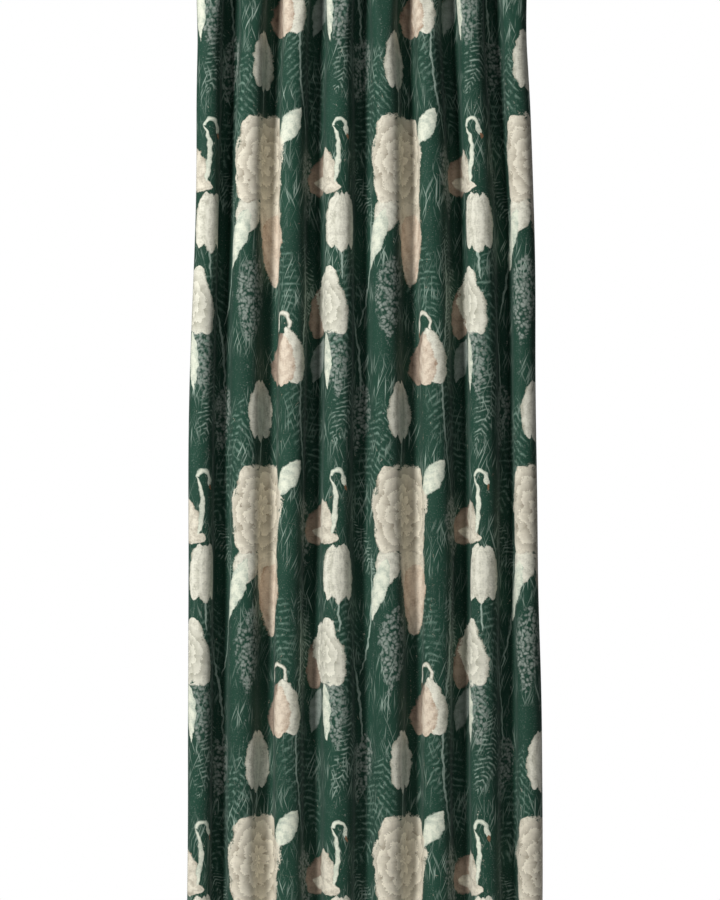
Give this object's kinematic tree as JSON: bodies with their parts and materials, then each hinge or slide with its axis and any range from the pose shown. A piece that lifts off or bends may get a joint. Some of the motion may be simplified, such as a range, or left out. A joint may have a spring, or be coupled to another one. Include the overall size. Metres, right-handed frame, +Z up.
{
  "type": "shower curtain",
  "caption": "Printed fabric shower curtain hanging in deep vertical folds from hinged snap rings through metal eyelets, with a weighted hem.",
  "frame": {"origin": "middle of the centre line of the 25 mm rod that carries the rings", "axes": "+X along the rod, to the right seen from the front; -Y towards the front, printed face; +Z up"},
  "size_m": [0.7312, 0.0809, 2.0354],
  "materials": {
    "printed_cloth": "matte",
    "interlining": "matte",
    "weight_cord": "matte",
    "ring_plastic": "satin",
    "nickel": "polished",
    "pin_steel": "satin"
  },
  "bodies": {
    "curtain": {"curtain_panel": "printed_cloth", "heading_interlining": "interlining", "hem_weight_cord": "weight_cord", "eyelet_1": "nickel", "eyelet_washer_1": "nickel"},
    "eyelet_set_2": {"eyelet_2": "nickel", "eyelet_washer_2": "nickel"},
    "eyelet_set_3": {"eyelet_3": "nickel", "eyelet_washer_3": "nickel"},
    "eyelet_set_4": {"eyelet_4": "nickel", "eyelet_washer_4": "nickel"},
    "eyelet_set_5": {"eyelet_5": "nickel", "eyelet_washer_5": "nickel"},
    "eyelet_set_6": {"eyelet_6": "nickel", "eyelet_washer_6": "nickel"},
    "eyelet_set_7": {"eyelet_7": "nickel", "eyelet_washer_7": "nickel"},
    "eyelet_set_8": {"eyelet_8": "nickel", "eyelet_washer_8": "nickel"},
    "ring_1": {"ring_body_1": "ring_plastic", "ring_pin_1": "pin_steel"},
    "gate_1": {"ring_gate_1": "ring_plastic"},
    "ring_2": {"ring_body_2": "ring_plastic", "ring_pin_2": "pin_steel"},
    "gate_2": {"ring_gate_2": "ring_plastic"},
    "ring_3": {"ring_body_3": "ring_plastic", "ring_pin_3": "pin_steel"},
    "gate_3": {"ring_gate_3": "ring_plastic"},
    "ring_4": {"ring_body_4": "ring_plastic", "ring_pin_4": "pin_steel"},
    "gate_4": {"ring_gate_4": "ring_plastic"},
    "ring_5": {"ring_body_5": "ring_plastic", "ring_pin_5": "pin_steel"},
    "gate_5": {"ring_gate_5": "ring_plastic"},
    "ring_6": {"ring_body_6": "ring_plastic", "ring_pin_6": "pin_steel"},
    "gate_6": {"ring_gate_6": "ring_plastic"},
    "ring_7": {"ring_body_7": "ring_plastic", "ring_pin_7": "pin_steel"},
    "gate_7": {"ring_gate_7": "ring_plastic"},
    "ring_8": {"ring_body_8": "ring_plastic", "ring_pin_8": "pin_steel"},
    "gate_8": {"ring_gate_8": "ring_plastic"}
  },
  "joints": [
    {"name": "curtain_draw", "type": "slide", "parent": "curtain", "child": "eyelet_set_8", "axis": [1, 0, 0], "range_m": [-0.371, 0.385], "deforming": ["curtain_panel", "heading_interlining", "hem_weight_cord"]},
    {"name": "eyelet_slide_2", "type": "slide", "parent": "curtain", "child": "eyelet_set_2", "axis": [1, 0, 0], "range_m": [-0.0531, 0.0551]},
    {"name": "eyelet_slide_3", "type": "slide", "parent": "curtain", "child": "eyelet_set_3", "axis": [1, 0, 0], "range_m": [-0.1061, 0.1101]},
    {"name": "eyelet_slide_4", "type": "slide", "parent": "curtain", "child": "eyelet_set_4", "axis": [1, 0, 0], "range_m": [-0.1591, 0.1651]},
    {"name": "eyelet_slide_5", "type": "slide", "parent": "curtain", "child": "eyelet_set_5", "axis": [1, 0, 0], "range_m": [-0.2121, 0.2201]},
    {"name": "eyelet_slide_6", "type": "slide", "parent": "curtain", "child": "eyelet_set_6", "axis": [1, 0, 0], "range_m": [-0.2651, 0.2751]},
    {"name": "eyelet_slide_7", "type": "slide", "parent": "curtain", "child": "eyelet_set_7", "axis": [1, 0, 0], "range_m": [-0.3181, 0.3301]},
    {"name": "ring_turn_1", "type": "hinge", "parent": "curtain", "child": "ring_1", "pos_m": [-0.3115, 0, -0.01], "axis": [1, 0, 0], "range_deg": [-45, 45]},
    {"name": "ring_turn_2", "type": "hinge", "parent": "eyelet_set_2", "child": "ring_2", "pos_m": [-0.2225, 0, -0.01], "axis": [1, 0, 0], "range_deg": [-45, 45]},
    {"name": "ring_turn_3", "type": "hinge", "parent": "eyelet_set_3", "child": "ring_3", "pos_m": [-0.1335, 0, -0.01], "axis": [1, 0, 0], "range_deg": [-45, 45]},
    {"name": "ring_turn_4", "type": "hinge", "parent": "eyelet_set_4", "child": "ring_4", "pos_m": [-0.0445, 0, -0.01], "axis": [1, 0, 0], "range_deg": [-45, 45]},
    {"name": "ring_turn_5", "type": "hinge", "parent": "eyelet_set_5", "child": "ring_5", "pos_m": [0.0445, 0, -0.01], "axis": [1, 0, 0], "range_deg": [-45, 45]},
    {"name": "ring_turn_6", "type": "hinge", "parent": "eyelet_set_6", "child": "ring_6", "pos_m": [0.1335, 0, -0.01], "axis": [1, 0, 0], "range_deg": [-45, 45]},
    {"name": "ring_turn_7", "type": "hinge", "parent": "eyelet_set_7", "child": "ring_7", "pos_m": [0.2225, 0, -0.01], "axis": [1, 0, 0], "range_deg": [-45, 45]},
    {"name": "ring_turn_8", "type": "hinge", "parent": "eyelet_set_8", "child": "ring_8", "pos_m": [0.3115, 0, -0.01], "axis": [1, 0, 0], "range_deg": [-45, 45]},
    {"name": "gate_open_1", "type": "hinge", "parent": "ring_1", "child": "gate_1", "pos_m": [-0.3115, -0.025, -0.01], "axis": [1, 0, 0], "range_deg": [0, 80]},
    {"name": "gate_open_2", "type": "hinge", "parent": "ring_2", "child": "gate_2", "pos_m": [-0.2225, -0.025, -0.01], "axis": [1, 0, 0], "range_deg": [0, 80]},
    {"name": "gate_open_3", "type": "hinge", "parent": "ring_3", "child": "gate_3", "pos_m": [-0.1335, -0.025, -0.01], "axis": [1, 0, 0], "range_deg": [0, 80]},
    {"name": "gate_open_4", "type": "hinge", "parent": "ring_4", "child": "gate_4", "pos_m": [-0.0445, -0.025, -0.01], "axis": [1, 0, 0], "range_deg": [0, 80]},
    {"name": "gate_open_5", "type": "hinge", "parent": "ring_5", "child": "gate_5", "pos_m": [0.0445, -0.025, -0.01], "axis": [1, 0, 0], "range_deg": [0, 80]},
    {"name": "gate_open_6", "type": "hinge", "parent": "ring_6", "child": "gate_6", "pos_m": [0.1335, -0.025, -0.01], "axis": [1, 0, 0], "range_deg": [0, 80]},
    {"name": "gate_open_7", "type": "hinge", "parent": "ring_7", "child": "gate_7", "pos_m": [0.2225, -0.025, -0.01], "axis": [1, 0, 0], "range_deg": [0, 80]},
    {"name": "gate_open_8", "type": "hinge", "parent": "ring_8", "child": "gate_8", "pos_m": [0.3115, -0.025, -0.01], "axis": [1, 0, 0], "range_deg": [0, 80]}
  ],
  "couplings": [
    {"joint": "eyelet_slide_2", "follows": "curtain_draw", "ratio": 0.14286},
    {"joint": "eyelet_slide_3", "follows": "curtain_draw", "ratio": 0.28571},
    {"joint": "eyelet_slide_4", "follows": "curtain_draw", "ratio": 0.42857},
    {"joint": "eyelet_slide_5", "follows": "curtain_draw", "ratio": 0.57143},
    {"joint": "eyelet_slide_6", "follows": "curtain_draw", "ratio": 0.71429},
    {"joint": "eyelet_slide_7", "follows": "curtain_draw", "ratio": 0.85714},
    {"joint": "ring_turn_2", "follows": "ring_turn_1", "ratio": 1},
    {"joint": "ring_turn_3", "follows": "ring_turn_1", "ratio": 1},
    {"joint": "ring_turn_4", "follows": "ring_turn_1", "ratio": 1},
    {"joint": "ring_turn_5", "follows": "ring_turn_1", "ratio": 1},
    {"joint": "ring_turn_6", "follows": "ring_turn_1", "ratio": 1},
    {"joint": "ring_turn_7", "follows": "ring_turn_1", "ratio": 1},
    {"joint": "ring_turn_8", "follows": "ring_turn_1", "ratio": 1}
  ]
}
